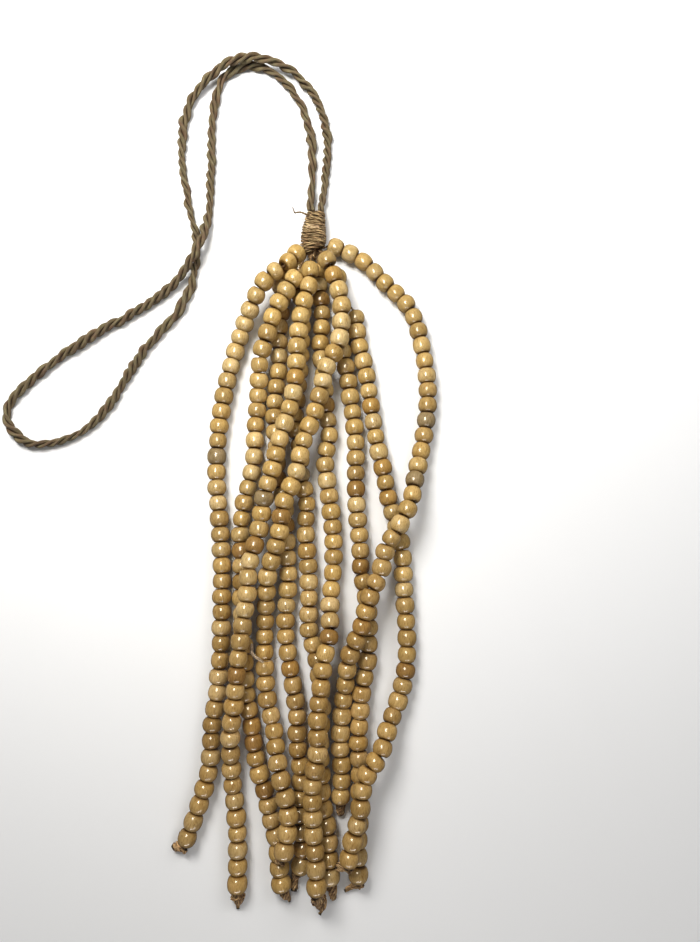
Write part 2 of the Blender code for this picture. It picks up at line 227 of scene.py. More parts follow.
# The knots, from the last bead to the tip, with their strand running down the page: to the right of
# its line, along it, and width. Then how many turns their fibres make, how many there are, and how
# far they open over the middle.
KNOTS = {
    "knot_01": ([(2.6, 0.6, 2.4), (0.2, 1.6, 3.4), (-2.4, 3.0, 3.0), (-4.8, 4.6, 2.3), (-6.4, 5.6, 2.5)],
                0.5, 9, 0),
    "knot_02": ([(0.3, -0.4, 3.6), (0.4, 2.2, 4.6), (0.5, 4.8, 4.2), (0.6, 6.8, 3.5), (0.6, 8.0, 2.6)],
                0.5, 11, 0),
    "knot_03": ([(0, -0.4, 2.6), (-0.6, 1.8, 4.4), (-0.3, 4.2, 3.3), (0, 6.0, 3.8), (0.6, 8.0, 4.4),
                 (1.0, 9.6, 4.8)], 0.4, 11, 0),
    "knot_04": ([(0, -0.4, 3.0), (0.6, 1.8, 4.9), (0.9, 4.0, 4.2), (1.4, 5.2, 2.1), (1.5, 7.2, 1.9)],
                0.6, 10, 0.4),
    "knot_05": ([(1.6, 0.6, 2.6), (-0.6, 1.6, 4.6), (-3.2, 2.4, 5.4), (-5.8, 2.2, 4.0)], 0.5, 12, 0.7),
    "knot_06": ([(1.8, 0.6, 3.4), (-0.4, 2.0, 5.0), (-3.0, 3.2, 5.2), (-5.6, 3.8, 4.0)], 0.5, 12, 0),
    "knot_07": ([(-0.6, -0.6, 5.6), (0.2, 2.4, 7.0), (0.6, 5.4, 6.8), (1.3, 8.6, 5.6), (1.7, 10.6, 3.2),
                 (1.3, 11.8, 1.7), (0.3, 13.4, 2.6)], 0.35, 16, 0),
    "knot_08": ([(0, -0.4, 3.2), (0.1, 1.8, 5.0), (0.2, 4.4, 4.4), (0.2, 6.6, 2.6)], 0.6, 11, 0),
    "knot_09": ([(0, -0.4, 5.4), (0.3, 2.0, 6.8), (0.3, 4.4, 5.4), (0.2, 6.4, 3.0), (0, 7.4, 2.0),
                 (0, 9.2, 2.4)], 0.15, 12, 0.9),
    "knot_10": ([(0.4, -0.3, 2.6), (-0.8, 0.6, 3.2), (-2.4, 1.2, 2.6), (-3.8, 1.0, 1.6)], 0.5, 8, 0),
}
KNOT_FLATNESS = 0.78          # a knot's thickness for its width
KNOT_FALL = 2.2               # how fast a knot comes down from its bead to the surface
KNOT_CORE = 0.33              # its core's radius for its width, and that core's brightness: a core painted dark as painted shade between the fibres
KNOT_CORE_SHADE = 0.22
# A knot's fibres: least and most of where on it they end, how broad they are for an even share of
# its girth, their thickness, and their brightness for the string's.
FIBRE_STOPS = (0.86, 1.0)
FIBRE_WIDTHS = (1.0, 1.5)
FIBRE_THICKNESSES = (0.55, 0.8)
FIBRE_BRIGHTNESS = (1.2, 2.2)
# The turn of string tied round a knot: where it is, least and most, and how far it runs askew.
TIE_PLACES = (0.2, 0.3)
TIE_ASKEW = 3                 # points of the knot's line
TIE_DIAMETER = 1.3
TIE_LAY = 4.6

# The binding's form from the cord's side to the beads' side: y, left, right, height, slant.
BINDING = [
    (12.9, -3.6, 5.6, 8.6, 0.0), (11.6, -4.4, 6.3, 9.6, 0.0), (7.8, -5.0, 6.5, 10.6, 0.0),
    (2.0, -6.6, 6.8, 12.0, 0.5), (-3.7, -7.3, 7.0, 13.0, 1.5), (-8.6, -7.2, 6.8, 13.0, 4.0),
    (-10.4, -6.3, 6.0, 12.0, 4.3),
]
BINDING_LEAN = 0.40           # how far its turns' tops lean towards the beads, for their height
BINDING_LEVEL = 0.7           # the part of its height where they don't lean
TWINE_DIAMETER = 1.6
TWINE_LAY = 11.0
TWINE_PITCH = 1.5
WINDING_FROM = 12.0
WINDING_TO = -9.8
WINDING_OVERRUN = 0.9         # how far its last turns may stray past its end
CLOSING_TURNS = 2.4           # the last turns, which sink in
CLOSING_PITCH = 0.35
CLOSING_DEPTH = 1.15          # how much deeper each of them lies
WINDING_POINTS = 72           # in each turn
WINDING_START = 0.9 * math.pi       # the angle at which the twine starts
WINDING_WANDER = 0.13         # how far its turns stray from even ones
WINDING_WANDER_SPACING = 0.33       # in turns
WINDING_SINK = 0.15           # how much deeper a turn lies, for how far it strays
CORE_FROM = 12.3              # the binding's core, painted dark as painted shade in the gaps between the twine's turns
CORE_TO = -9.9
CORE_DEPTH = 0.75             # for the twine's diameter
CORE_SHADE = 0.12
# The flat pale band over the winding: where it starts, how far it slants, its angles in half turns,
# and its size.
BAND_FROM = 2.9
BAND_SLANT = 0.3
BAND_START = 0.74
BAND_SWEEP = 0.40
BAND_DEPTH = 0.50
BAND_WIDTH = 2.3
BAND_THICKNESS = 0.9
BAND_CENTRE = (0, 0, 3)       # it faces away from here
# The twine's loose end, from the winding to its tip.
LOOSE_END = [
    (-2.4, 9.0, 9.2), (-5.0, 10.4, 8.2), (-8.2, 12.6, 5.6), (-10.6, 13.4, 3.6), (-11.4, 15.6, 2.0),
    (-12.4, 18.4, 0.7),
]
LOOSE_END_TAPER = [(0, 1.0), (0.6, 0.75), (1.0, 0.4)]
LOOSE_END_SHADE = 0.62

# The strings that show under the binding.
BUNCH_STRINGS = 9
BUNCH_LEFT = -3.6
BUNCH_SPACING = 0.9
BUNCH_DIAMETER = 1.7
BUNCH_LAY = 4.2
BUNCH_TAPER = [(0, 1.0), (0.8, 0.95), (1.0, 0.5)]
BUNCH_BRIGHTNESS = (0.9, 2.3)       # least and most

# The stray string over the strands: its flat part and its frayed end.
STRAY_FLAT = [(-29.4, -218.7, 10), (-29.4, -222.4, 12), (-26.5, -224.8, 14.5), (-22.8, -226.8, 16.6)]
STRAY_THIN = [(-23.2, -226.6, 16.4), (-19.1, -226.6, 12), (-16.0, -225.2, 8)]

FLOOR_REACH = 3.0             # of the surface to each side of the middle, in metres


def camera():
    """A wide lens over the tassel, a little towards the ends of its strands."""
    data = bpy.data.cameras.new("camera")
    data.lens = CAMERA_LENS
    made = bpy.data.objects.new("camera", data)
    bpy.context.scene.collection.objects.link(made)
    made.location = Vector(CAMERA_PLACE) * MM
    ahead = Vector(CAMERA_TARGET) - Vector(CAMERA_PLACE)
    made.rotation_euler = ahead.to_track_quat("-Z", "Y").to_euler()
    bpy.context.scene.camera = made


def distances_along(points):
    """The distance from the first point to each point, along the line."""
    return np.r_[0.0, np.cumsum(np.linalg.norm(np.diff(points, axis=0), axis=1))]


def at_distances(line, places):
    """The line's points at these distances along it."""
    along = distances_along(line)
    return np.stack([np.interp(places, along, column) for column in line.T], axis=1)


def even_points(line, step):
    """The same line with its points at even distances, about a step apart."""
    total = distances_along(line)[-1]
    return at_distances(line, np.linspace(0, total, max(2, round(total / step) + 1)))


def smooth_line(points, step):
    """Even points, about a step apart, on the natural cubic spline through the given points."""
    points = np.array(points, dtype=float)
    knots = distances_along(points)
    widths = np.diff(knots)[:, None]
    count = len(points)
    system = np.eye(count)
    right = np.zeros_like(points)
    slopes = np.diff(points, axis=0) / widths
    for row in range(1, count - 1):
        system[row, row - 1] = widths[row - 1, 0]
        system[row, row] = 2 * (widths[row - 1, 0] + widths[row, 0])
        system[row, row + 1] = widths[row, 0]
        right[row] = 6 * (slopes[row] - slopes[row - 1])
    bend = np.linalg.solve(system, right)
    fine = np.linspace(0, knots[-1], int(knots[-1] * 4) + 8)
    cell = np.clip(np.searchsorted(knots, fine, side="right") - 1, 0, count - 2)
    width = widths[cell]
    before = (knots[cell + 1] - fine)[:, None]
    after = (fine - knots[cell])[:, None]
    curve = (bend[cell] * before**3 + bend[cell + 1] * after**3) / (6 * width)
    curve += (points[cell] / width - bend[cell] * width / 6) * before
    curve += (points[cell + 1] / width - bend[cell + 1] * width / 6) * after
    return even_points(curve, step)


def smoothed(line, rounds):
    """The line with its points averaged with their neighbours, and its ends kept."""
    for _ in range(rounds):
        inner = 0.25 * line[:-2] + 0.5 * line[1:-1] + 0.25 * line[2:]
        line = np.vstack([line[:1], inner, line[-1:]])
    return line


def directions(line):
    """For each point two directions across the line, which don't turn about it."""
    ahead = np.gradient(line, axis=0)
    ahead /= np.linalg.norm(ahead, axis=1)[:, None]
    across = np.empty_like(line)
    side = np.cross(ahead[0], (0.0, 0.0, 1.0))
    if np.linalg.norm(side) < 0.1:
        side = np.cross(ahead[0], (0.0, 1.0, 0.0))
    for row, forward in enumerate(ahead):
        side = side - forward * (side @ forward)
        side = side / np.linalg.norm(side)
        across[row] = side
    return across, np.cross(ahead, across)


def circle(sides):
    """Even angles once round."""
    return np.arange(sides) * FULL_TURN / sides


def rings_about(line, radii, angles, across, up):
    """Rings of points about a line, from their distances to it and their angles."""
    angles = angles[..., None]
    return line[:, None] + radii[..., None] * (
        np.cos(angles) * across[:, None] + np.sin(angles) * up[:, None])


def grain_of(side, along, apart):
    """Places in the grain: to the side, along the fibre, and how far from other fibres'."""
    return np.stack(np.broadcast_arrays(side, along[:, None], apart), axis=-1)


class Gathered:
    """Rings of points that become one piece, with a colour and a place in the grain for each point."""

    def __init__(self):
        self.points = []
        self.faces = []
        self.tones = []
        self.grain = []
        self.count = 0

    def add(self, rings, tones, grain, closed=False):
        """Faces between neighbouring rings. The end rings are filled, or meet if closed.

        What would lie under the surface is laid on it.
        """
        rings[..., 2] = np.maximum(rings[..., 2], 0)
        rows, sides = rings.shape[:2]
        index = np.arange(rows * sides).reshape(rows, sides) + self.count
        first = index if closed else index[:-1]
        second = np.roll(index, -1, axis=0) if closed else index[1:]
        corners = [first, np.roll(first, -1, axis=1), np.roll(second, -1, axis=1), second]
        self.faces += np.stack(corners, axis=-1).reshape(-1, 4).tolist()
        if not closed:
            self.faces += [index[0, ::-1].tolist(), index[-1].tolist()]
        self.points.append(rings.reshape(-1, 3))
        self.tones.append(np.broadcast_to(tones, rings.shape).reshape(-1, 3))
        self.grain.append(np.broadcast_to(grain, rings.shape).reshape(-1, 3))
        self.count += rows * sides

    def piece(self, name, finish, slot, *nodes):
        """The object that rides on the tassel and stands for these nodes."""
        mesh = bpy.data.meshes.new(name)
        mesh.from_pydata((np.concatenate(self.points) * MM).tolist(), [], self.faces)
        tones = np.concatenate(self.tones)
        tones = np.column_stack([tones, np.ones(len(tones))]).astype(np.float32)
        colour = mesh.attributes.new("tone", "FLOAT_COLOR", "POINT")
        colour.data.foreach_set("color", tones.ravel())
        place = mesh.attributes.new("grain", "FLOAT_VECTOR", "POINT")
        place.data.foreach_set("vector", np.concatenate(self.grain).astype(np.float32).ravel())
        shape = bmesh.new()
        shape.from_mesh(mesh)
        bmesh.ops.recalc_face_normals(shape, faces=shape.faces)
        shape.to_mesh(mesh)
        shape.free()
        mesh.shade_smooth()
        mesh.materials.append(finish)
        made = bpy.data.objects.new(name, mesh)
        bpy.context.scene.collection.objects.link(made)
        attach(made, "root")
        if nodes:
            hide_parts(*nodes)
        return made


def wandering(random, along, spacing, amount):
    """A value that wanders slowly along a line, with this standard deviation."""
    places = np.arange(0, along[-1] + 2 * spacing, spacing)
    return np.interp(along, places, random.normal(0, amount, len(places)))


def rope(gathered, line, diameter, plies, lay, tone, sides=20, squeeze=0.5, hand=-1, taper=None,
         wear=0.05, seed=1):
    """A twisted rope: one skin whose section has a lobe for each ply.

    Squeeze is how far the plies' middles lie from the rope's own, for its radius. Hand is -1 for a
    left-hand lay. Taper lists (part of the length, size). Wear is how uneven it is.
    """
    random = np.random.default_rng(seed)
    across, up = directions(line)
    along = distances_along(line)

    def worn(kind):
        """Sizes along the rope that wander about 1, as this kind of wear does."""
        spacing, amount = kind
        return 1 + wandering(random, along, spacing * lay, amount * wear)

    rate = worn(TWIST_WEAR) / lay
    turned = np.r_[0.0, np.cumsum(0.5 * (rate[1:] + rate[:-1]) * np.diff(along))]
    around = circle(sides)
    share = FULL_TURN / plies
    within = (around + share / 2) % share - share / 2
    ply = (np.floor((around + share / 2) / share) % plies).astype(int)
    offset = 0.5 * squeeze * diameter
    thick = 0.5 * (1 - squeeze) * diameter
    lobe = np.sqrt(np.maximum(thick**2 - (offset * np.sin(within)) ** 2, 0))
    radius = offset * np.cos(within) + lobe
    size = worn(SIZE_WEAR)
    if taper is not None:
        size = size * np.interp(along / along[-1], *zip(*taper))
    plies_worn = np.stack([worn(PLY_WEAR) for _ in range(plies)], axis=1)
    radii = radius[None] * size[:, None] * plies_worn[:, ply]
    angles = hand * FULL_TURN * turned[:, None] + around[None]
    rings = rings_about(line, radii, angles, across, up)
    side = within * thick * GRAIN_WIDTH + ply * PLY_GRAIN_SIDE
    grain = grain_of(side, along, ply * PLY_GRAIN_APART + seed)
    # Painted shade: each ply's colour is darkened towards the grooves on either side of it.
    groove = np.clip((np.abs(within) / (share / 2) - GROOVE_START) / GROOVE_EDGE, 0, 1)
    shade = (1 - GROOVE_PAINTED_SHADE * groove)[:, None] ** np.array(SHADE_WARMTH)
    tints = 1 + random.uniform(-PLY_TINT, PLY_TINT, (plies, 1)) * np.array(PLY_TINT_SHARES)
    gathered.add(rings, np.array(tone) * shade * tints[ply], grain)


def fibre(gathered, line, thickness, tone, seed, sides=6):
    """A thin loose fibre that tapers to its tip."""
    around = circle(sides)
    radii = 0.5 * thickness * np.linspace(1, 0.25, len(line))
    rings = rings_about(line, radii[:, None], around, *directions(line))
    gathered.add(rings, tone, grain_of(around * thickness, distances_along(line), float(seed)))


def ribbon(gathered, line, out, width, thickness, tone, seed):
    """A flat fibre along a line. Out is the way its flat side faces at each point."""
    ahead = np.gradient(line, axis=0)
    ahead /= np.linalg.norm(ahead, axis=1)[:, None]
    out = out - ahead * (out * ahead).sum(axis=1)[:, None]
    out /= np.linalg.norm(out, axis=1)[:, None]
    side = np.cross(ahead, out)
    around = circle(8)
    along = distances_along(line)
    taper = np.interp(along / along[-1], *zip(*RIBBON_TAPER))[:, None, None]
    across = 0.5 * width * np.cos(around)
    depth = 0.5 * thickness * np.sin(around)
    rings = line[:, None] + across[None, :, None] * taper * side[:, None]
    rings = rings + depth[None, :, None] * taper * out[:, None]
    # Painted shade: the ribbon's edges are painted darker than its flat faces.
    shade = 0.55 + 0.45 * np.abs(np.sin(around))
    gathered.add(rings, np.array(tone) * shade[None, :, None], grain_of(across, along, float(seed)))


def new_material(name):
    """A material, its nodes and links, and its shader."""
    made = bpy.data.materials.new(name)
    made.use_nodes = True
    return made, made.node_tree.nodes, made.node_tree.links, made.node_tree.nodes["Principled BSDF"]


def attribute(nodes, name, output):
    """The output of a named attribute of the mesh."""
    node = nodes.new("ShaderNodeAttribute")
    node.attribute_name = name
    return node.outputs[output]


def noise(nodes, links, place, stretch, scale, detail, roughness=0.5):
    """Noise in the grain's own directions, stretched along them."""
    mapping = nodes.new("ShaderNodeMapping")
    mapping.inputs["Scale"].default_value = stretch
    links.new(place, mapping.inputs["Vector"])
    made = nodes.new("ShaderNodeTexNoise")
    made.inputs["Scale"].default_value = scale
    made.inputs["Detail"].default_value = detail
    made.inputs["Roughness"].default_value = roughness
    links.new(mapping.outputs["Vector"], made.inputs["Vector"])
    return made.outputs["Fac"]


def ramp(nodes, links, value, stops):
    """A value turned into a colour by stops of (place, colour)."""
    made = nodes.new("ShaderNodeValToRGB")
    elements = made.color_ramp.elements
    for number, (place, colour) in enumerate(stops):
        element = elements[number] if number < 2 else elements.new(place)
        element.position = place
        element.color = (*colour, 1.0)
    links.new(value, made.inputs["Fac"])
    return made.outputs["Color"]


def multiplied(nodes, links, first, second):
    """Two colours multiplied."""
    made = nodes.new("ShaderNodeMix")
    made.data_type = "RGBA"
    made.blend_type = "MULTIPLY"
    made.inputs["Factor"].default_value = 1.0
    links.new(first, made.inputs["A"])
    links.new(second, made.inputs["B"])
    return made.outputs["Result"]


def bump(nodes, links, height, strength, distance, shader):
    """A bump on the shader from a height."""
    made = nodes.new("ShaderNodeBump")
    made.inputs["Strength"].default_value = strength
    made.inputs["Distance"].default_value = distance
    links.new(height, made.inputs["Height"])
    links.new(made.outputs["Normal"], shader.inputs["Normal"])


def wood():
    """Varnished pale wood: each bead its own tone, with fine grain, pores and a few dark flecks."""
    made, nodes, links, shader = new_material("varnished_wood")
    place = attribute(nodes, "grain", "Vector")
    colour = attribute(nodes, "tone", "Color")
    streaks = noise(nodes, links, place, (1.0, 1.0, 0.16), 2.6, 5.0, 0.62)
    cloud = noise(nodes, links, place, (1.0, 1.0, 0.5), 0.28, 3.0)
    flecks = noise(nodes, links, place, (1.0, 1.0, 0.35), 0.55, 4.0, 0.7)
    streak_stops = [(0.34, (0.58, 0.47, 0.34)), (0.47, (0.95, 0.94, 0.91)), (0.70, (1.16, 1.16, 1.14))]
    cloud_stops = [(0.32, (0.80, 0.73, 0.56)), (0.50, (0.96, 0.95, 0.88)), (0.68, (1.08, 1.06, 1.06))]
    fleck_stops = [(0.26, (0.28, 0.18, 0.10)), (0.30, (1.0, 1.0, 1.0))]
    for pattern, stops in ((streaks, streak_stops), (cloud, cloud_stops), (flecks, fleck_stops)):
        colour = multiplied(nodes, links, colour, ramp(nodes, links, pattern, stops))
    links.new(colour, shader.inputs["Base Color"])
    shader.inputs["Roughness"].default_value = 0.5
    shader.inputs["Specular IOR Level"].default_value = 0.2
    shader.inputs["Coat Weight"].default_value = 1.0
    shader.inputs["Coat Roughness"].default_value = 0.15
    shader.inputs["Coat IOR"].default_value = 1.5
    bump(nodes, links, streaks, 0.12, 0.0002, shader)
    return made


def fibres(name, scale, deep, light, dull, fresh):
    """Twisted plant fibre: fine strands along the ply, deep to light, in dull and fresh patches."""
    made, nodes, links, shader = new_material(name)
    place = attribute(nodes, "grain", "Vector")
    colour = attribute(nodes, "tone", "Color")
    lines = noise(nodes, links, place, (1.0, 0.10, 1.0), scale, 3.0, 0.7)
    patches = noise(nodes, links, place, (1.0, 0.6, 1.0), 0.35, 3.0)
    line_stops = [(0.40, deep), (0.50, (0.86, 0.83, 0.79)), (0.62, (light, light, 0.95 * light))]
    for pattern, stops in ((lines, line_stops), (patches, [(0.36, dull), (0.62, fresh)])):
        colour = multiplied(nodes, links, colour, ramp(nodes, links, pattern, stops))
    links.new(colour, shader.inputs["Base Color"])
    shader.inputs["Roughness"].default_value = 0.75
    shader.inputs["Specular IOR Level"].default_value = 0.2
    shader.inputs["Sheen Weight"].default_value = 0.04
    bump(nodes, links, lines, 1.0, 0.0002, shader)
    return made


def hanging_cord(finish):
    """The three-ply cord, doubled into its long loop."""
    route = [(point + (CORD_REST,))[:3] for point in CORD]
    line = smooth_line(route, CORD_STEP)
    line[:, 2] = np.maximum(line[:, 2], CORD_REST)
    random = np.random.default_rng(4)
    along = distances_along(line)
    stray = [wandering(random, along, CORD_WANDER_SPACING, CORD_WANDER) for _ in range(3)]
    line = line + np.stack(stray, axis=1) * np.minimum(1, along / CORD_STEADY)[:, None]
    gathered = Gathered()
    rope(gathered, line, CORD_DIAMETER, CORD_PLIES, CORD_LAY, CORD_BROWN, sides=48, squeeze=0.60,
         wear=0.10, seed=11)
    made = gathered.piece("cord", finish, "plied_cord", "hanging_cord")


def strand_line(node):
    """A strand's line: the middle of its solid, ring by ring from the binding, and then shifted."""
    corners = np.array([vertex.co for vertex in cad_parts[node].data.vertices]) / MM
    corners = np.unique(np.round(corners, 3), axis=0)
    middle = np.array(STRANDS_START)
    rings = []
    while len(corners):
        order = np.argsort(np.linalg.norm(corners - middle, axis=1))
        middle = corners[order[:TUBE_SIDES]].mean(axis=0)
        rings.append(middle)
        corners = corners[order[TUBE_SIDES:]]
    line = smooth_line(rings, STRAND_STEP)
    places, *shifts = zip(*SHIFTS[node])
    along = distances_along(line)
    line = line + np.stack([np.interp(along, places, shift) for shift in shifts], axis=1)
    return smoothed(line, STRAND_SMOOTHING)


def bead_wall(radius, length, flat, belly):
    """Points (distance from the axis, place along it, painted shade) round a bead's wall and its hole."""
    half = length / 2
    end = math.asin((1 - flat**belly) ** 0.5)
    closing = half / math.sin(end) ** (2 / belly)
    points = []
    for lean in np.linspace(-end, end, BEAD_BELLY_POINTS):
        out = radius * math.cos(lean) ** (2 / belly)
        place = closing * math.copysign(abs(math.sin(lean)) ** (2 / belly), lean)
        points.append((out, place, 1 - RIM_PAINTED_SHADE * abs(lean / end) ** RIM_SHARPNESS))
    outs = (radius * flat - BEAD_EDGE, BEAD_HOLE + BEAD_LIP, BEAD_HOLE)
    places = (half + BEAD_EDGE_RISE, half, half - BEAD_HOLE_DEPTH)
    mouth = list(zip(outs, places, END_SHADES))
    points += mouth
    points += [(out, -place, shade) for out, place, shade in reversed(mouth)]
    return np.array(points)


def bead_tone(random, strand, number):
    """A bead's colour: most are honey or tan, some pale, a few stand out, with a painted fall-off of
    light along the strand.
    """
    share = random.dirichlet(MIXED_SHARES)
    tone = share @ np.array(MIXED_TONES) * random.uniform(*MIXED_BRIGHTNESS)
    for odd, places in ODD_BEADS:
        if number in places.get(strand, ()):
            tone = np.array(odd)
    # Painted fall-off of light along the strand.
    places, *falloffs = zip(*PAINTED_FALLOFF)
    return tone * [np.interp(number, places, falloff) for falloff in falloffs]


def bead_ends(random, line, strand, count):
    """The points on a strand's line where its beads start, and where they stop."""
    total = distances_along(line)[-1]
    lengths = 1 + random.uniform(-BEAD_UNEVEN, BEAD_UNEVEN, count)
    lengths *= total / lengths.sum()
    ends = np.r_[0.0, np.cumsum(lengths)]
    numbers = np.arange(count) + 1
    slips = list(zip(*SLIPS[strand]))
    starts = np.maximum(ends[:-1] + np.interp(numbers - SLIP_REACH, *slips), 0)
    stops = np.minimum(ends[1:] + np.interp(numbers + SLIP_REACH, *slips), total)
    return at_distances(line, starts), at_distances(line, stops)


def bead(gathered, random, strand, number, first, second):
    """One bead between two points, with its own size, tilt, grain and tone."""
    middle = 0.5 * (first + second)
    axis = (second - first) / np.linalg.norm(second - first)
    axis = axis + random.normal(0, BEAD_TILT, 3)
    axis /= np.linalg.norm(axis)
    across = np.cross(axis, (0, 0, 1))
    across /= np.linalg.norm(across)
    up = np.cross(across, axis)
    radius = BEAD_RADIUS * random.uniform(*BEAD_SIZES)
    length = np.linalg.norm(second - first) - BEAD_GAP
    wall = bead_wall(radius, length, random.uniform(*BEAD_ENDS), random.uniform(*BEAD_BELLIES))
    if middle[2] < FLOOR_MIDDLE:
        middle[2] = radius
    out, place, shade = wall.T
    out = out * (1 + random.uniform(-BEAD_WEDGE, BEAD_WEDGE) * place / length)
    turned = random.uniform(*ANY_ANGLE) + circle(BEAD_SIDES)
    across_part = out[:, None] * np.cos(turned)[None]
    up_part = out[:, None] * np.sin(turned)[None]
    place = np.broadcast_to(place[:, None], across_part.shape)
    rings = middle + (across_part[..., None] * across + up_part[..., None] * up + place[..., None] * axis)
    lean = random.uniform(-GRAIN_LEAN, GRAIN_LEAN, 2)
    grain = [across_part, up_part, place + lean[0] * across_part + lean[1] * up_part]
    grain = np.stack(grain, axis=-1) + random.uniform(0, GRAIN_REACH, 3)
    # Painted shade: the bead's colour is darkened at its ends and in its hole.
    tones = bead_tone(random, strand, number) * shade[:, None, None] ** np.array(SHADE_WARMTH)
    gathered.add(rings, tones, grain, closed=True)


def beads(strand, count, finish):
    """One strand's beads, threaded end to end along its line, and that line."""
    random = np.random.default_rng(int(strand[-2:]) * 101)
    line = strand_line(strand)
    gathered = Gathered()
    starts, stops = bead_ends(random, line, strand, count)
    for number, (first, second) in enumerate(zip(starts, stops), start=1):
        bead(gathered, random, strand, number, first, second)
    return gathered.piece(strand + "_beads", finish, "bead_wood", strand), line


def string(strand, line, number, finish):
    """The string that carries a strand's beads, from the binding to its knot."""
    aside = float(np.clip(STRINGS_DRAWN_IN * line[0, 0], -STRINGS_HALF_WIDTH, STRINGS_HALF_WIDTH))
    start = LEADS.get(strand, [(aside, STRING_START_Y, STRING_START_HEIGHT)])
    route = even_points(np.vstack([np.array(start, dtype=float), line[2:]]), STRING_STEP)
    route = smoothed(route, STRING_SMOOTHING)
    gathered = Gathered()
    rope(gathered, route, STRING_DIAMETER, 2, STRING_LAY, STRING, sides=10, squeeze=0.42,
         seed=20 + number)
    made = gathered.piece(strand + "_string", finish, "string")


def knot_middle(points, line, ground):
    """A knot's own line from its string's end to its tip, and its width there."""
    ahead = line[-1] - line[-8]
    ahead[2] = 0
    ahead /= np.linalg.norm(ahead)
    right = np.cross(ahead, (0, 0, -1))
    table = smooth_line(points, 0.35)
    width = table[:, 2:3]
    places = line[-1] + table[:, :1] * right + table[:, 1:2] * ahead
    rest = ground + 0.5 * KNOT_FLATNESS * width + 0.1
    fall = np.clip(np.linspace(0, 1, len(table))[:, None] * KNOT_FALL, 0, 1)
    places[:, 2:3] = np.maximum(line[-1, 2] * (1 - fall) + rest * fall, rest)
    return places, width


def knot(node, line, finish):
    """A knot at a string's end: broad fibres that bulge, turn about each other and end raggedly."""
    points, turns, count, opening = KNOTS[node]
    random = np.random.default_rng(int(node[-2:]) * 7 + 3)
    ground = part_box(node)[0][2] / MM
    places, width = knot_middle(points, line, ground)
    across, up = directions(places)
    share = np.linspace(0, 1, len(places))[:, None]
    gathered = Gathered()
    # The core is painted dark: painted shade seen in the gaps between the fibres.
    core = rings_about(places, KNOT_CORE * width, circle(12), across, up * KNOT_FLATNESS)
    gathered.add(core, np.array(STRING) * KNOT_CORE_SHADE, core)
    for number in range(count):
        angle = FULL_TURN * (number + random.uniform(-0.25, 0.25)) / count
        if math.sin(angle) > math.cos(opening):
            continue
        turned = angle + FULL_TURN * turns * share
        out = np.cos(turned) * across + np.sin(turned) * up
        bulge = 1 + 0.12 * np.sin(random.uniform(*ANY_ANGLE) + 9 * share)
        reach = 0.5 * (width * bulge - 0.7) * (1 - random.uniform(0, 0.12))
        path = places + reach * (np.cos(turned) * across + np.sin(turned) * up * KNOT_FLATNESS)
        stop = int(len(path) * random.uniform(*FIBRE_STOPS))
        path = path[:stop]
        path[:, 2] = np.maximum(path[:, 2], ground + 0.3)
        broad = math.pi * width[:, 0].mean() / count * random.uniform(*FIBRE_WIDTHS)
        tone = np.array(STRING) * random.uniform(*FIBRE_BRIGHTNESS)
        ribbon(gathered, path, out[:stop], broad, random.uniform(*FIBRE_THICKNESSES), tone, number)
    tied = int(len(places) * random.uniform(*TIE_PLACES))
    knot_tie(gathered, places, tied, 0.5 * width[tied], across[tied], up[tied], ground, int(node[-2:]))
    return gathered.piece(node.replace("knot", "end_knot"), finish, "string", node)


def knot_tie(gathered, places, tied, radius, across, up, ground, seed):
    """The turn of string that is pulled tight round a knot, a little askew."""
    turned = np.linspace(0, FULL_TURN, 22)
    rows = tied + np.round(TIE_ASKEW * np.sin(turned + 0.6)).astype(int)
    middles = places[np.clip(rows, 0, len(places) - 1)]
    turned = turned[:, None]
    ring = middles + radius * (np.cos(turned) * across + np.sin(turned) * up * KNOT_FLATNESS)
    ring[:, 2] = np.maximum(ring[:, 2], ground + 0.4)
    rope(gathered, smoothed(ring, 1), TIE_DIAMETER, 2, TIE_LAY, np.array(STRING) * 1.3, sides=12,
         squeeze=0.42, seed=seed)


def section_at(y):
    """The binding's left, right, height and slant at a place along it."""
    rows = np.array(BINDING)[::-1]
    return [np.interp(y, rows[:, 0], column) for column in rows[:, 1:].T]


def on_binding(y, angle, depth):
    """A point a depth under the binding's skin. The angle starts at the right, over the top."""
    left, right, height, slant = section_at(y)
    middle = 0.5 * (left + right)
    half = 0.5 * (right - left) - depth
    rise = 0.5 * height - depth
    up = 0.5 * height + rise * math.sin(angle)
    lean = BINDING_LEAN * (BINDING_LEVEL * height - up)
    return (middle + half * math.cos(angle), y + 0.5 * slant * math.cos(angle) + lean, max(up, depth))


def winding_line(random):
    """The twine's line, round the binding from the cord's side to the beads' side."""
    turns = (WINDING_FROM - WINDING_TO) / TWINE_PITCH
    winding = np.linspace(0, turns + CLOSING_TURNS, int((turns + CLOSING_TURNS) * WINDING_POINTS))
    stray = wandering(random, winding, WINDING_WANDER_SPACING, WINDING_WANDER)
    points = []
    for turn, off in zip(winding, stray):
        past = max(0.0, turn - turns)
        y = WINDING_FROM - TWINE_PITCH * min(turn, turns) - CLOSING_PITCH * past
        y = float(np.clip(y + off, WINDING_TO - WINDING_OVERRUN, WINDING_FROM))
        depth = 0.5 * TWINE_DIAMETER + WINDING_SINK * abs(off) + CLOSING_DEPTH * past
        points.append(on_binding(y, WINDING_START - FULL_TURN * turn, depth))
    return even_points(np.array(points), 0.45)


